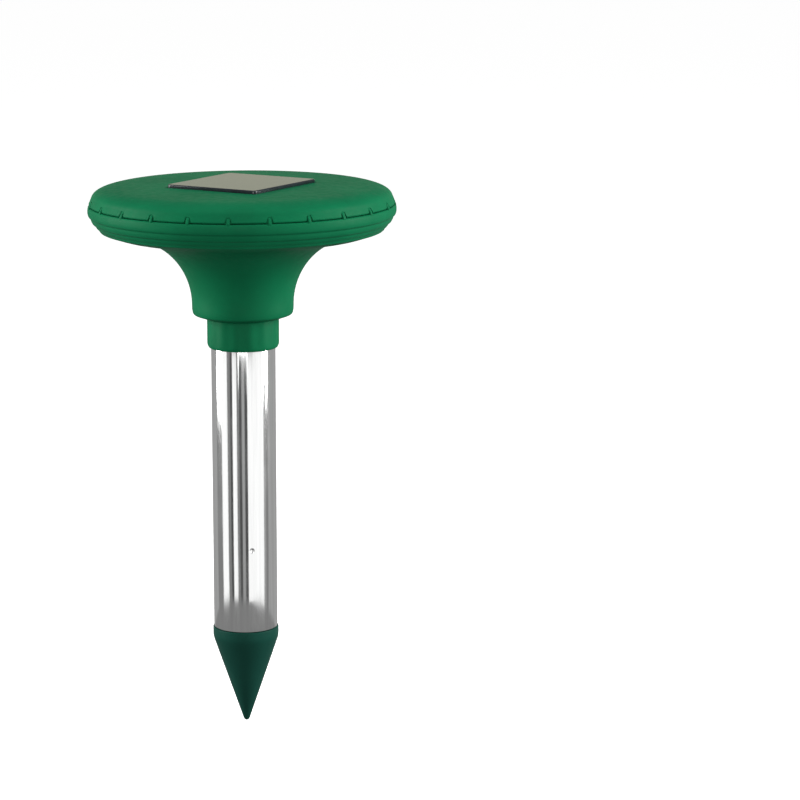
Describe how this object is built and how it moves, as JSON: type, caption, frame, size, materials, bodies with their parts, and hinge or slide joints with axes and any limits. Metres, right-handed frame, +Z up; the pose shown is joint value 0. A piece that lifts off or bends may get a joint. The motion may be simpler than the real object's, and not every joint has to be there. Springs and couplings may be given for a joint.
{
  "type": "solar mole repeller",
  "caption": "Garden stake with a disc-shaped green head holding a solar panel and sounder, on an aluminium tube with a plastic spike.",
  "frame": {"origin": "on the stake's axis at the soil line, 165 mm above the spike's tip", "axes": "+Z up along the stake, -Y towards the viewer of the picture, +X to the viewer's right"},
  "size_m": [0.152, 0.152, 0.2748],
  "materials": {
    "green_plastic": "moulded, satin",
    "dark_green_plastic": "moulded, slightly glossy",
    "polished_aluminium": "polished",
    "zinc_steel": "zinc plated",
    "contact_brass": "plain",
    "copper_wire": "enamelled winding",
    "black_rubber": "moulded",
    "black_plastic": "moulded",
    "white_foam": "double-sided foam",
    "solar_laminate": "clear resin over a dark cell",
    "green_board": "solder mask",
    "cell_sleeve": "shrink sleeve",
    "natural_nylon": "moulded",
    "paper_cone": "pressed cone",
    "ferrite": "sintered",
    "red_wire": "insulation",
    "black_wire": "insulation"
  },
  "bodies": {
    "stake": {"spike": "dark_green_plastic", "spike_seal": "black_rubber", "tube": "polished_aluminium", "collar": "green_plastic"},
    "seal_ring": {"neck_seal": "black_rubber"},
    "head": {"battery_cell_1": "cell_sleeve", "battery_cell_2": "cell_sleeve", "battery_cell_3": "cell_sleeve", "battery_lead_black": "black_wire", "battery_lead_red": "red_wire", "battery_link_left": "contact_brass", "battery_link_right": "contact_brass", "battery_minus_tab": "contact_brass", "battery_plus_tab": "contact_brass", "battery_socket": "natural_nylon", "board_screw_1": "zinc_steel", "board_screw_2": "zinc_steel", "board_screw_3": "zinc_steel", "board_screw_4": "zinc_steel", "boost_coil": "ferrite", "button_seal": "black_rubber", "cap": "green_plastic", "cap_screw_1": "zinc_steel", "cap_screw_2": "zinc_steel", "cap_screw_3": "zinc_steel", "cap_screw_4": "zinc_steel", "circuit_board": "green_board", "contact_spring_1": "zinc_steel", "contact_spring_2": "zinc_steel", "contact_spring_3": "zinc_steel", "controller_chip": "black_plastic", "filter_capacitor": "polished_aluminium", "housing": "green_plastic", "inner_tray": "black_plastic", "panel_adhesive": "white_foam", "panel_lead_black": "black_wire", "panel_lead_red": "red_wire", "panel_socket": "natural_nylon", "pole_plate": "zinc_steel", "rim_gasket": "black_rubber", "solar_panel": "solar_laminate", "sounder_frame": "black_plastic", "sounder_grille": "black_plastic", "sounder_lead_black": "black_wire", "sounder_lead_red": "red_wire", "sounder_magnet": "ferrite", "sounder_screw_1": "zinc_steel", "sounder_screw_2": "zinc_steel", "sounder_screw_3": "zinc_steel", "sounder_socket": "natural_nylon", "sounder_surround": "black_rubber", "sounder_yoke": "zinc_steel", "switch_body": "black_plastic", "tray_screw_1": "zinc_steel", "tray_screw_2": "zinc_steel", "tray_screw_3": "zinc_steel"},
    "button": {"power_button": "black_rubber"},
    "cone": {"diaphragm": "paper_cone", "voice_coil": "copper_wire"}
  },
  "joints": [
    {"name": "head_twist", "type": "hinge", "parent": "stake", "child": "seal_ring", "pos_m": [0, 0, 0.0514], "axis": [0, 0, 1], "range_deg": [0, 90]},
    {"name": "head_lift", "type": "slide", "parent": "seal_ring", "child": "head", "axis": [0, 0, 1], "range_m": [0, 0.0061]},
    {"name": "button_press", "type": "slide", "parent": "head", "child": "button", "axis": [0, 0, 1], "range_m": [0, 0.002], "stiffness_N_per_m": 600, "springref_m": -0.001},
    {"name": "cone_stroke", "type": "slide", "parent": "head", "child": "cone", "axis": [0, 0, 1], "range_m": [-0.0004, 0.0004], "stiffness_N_per_m": 900}
  ],
  "couplings": [
    {"joint": "head_lift", "follows": "head_twist", "m_per_rad": 0.0038197}
  ]
}
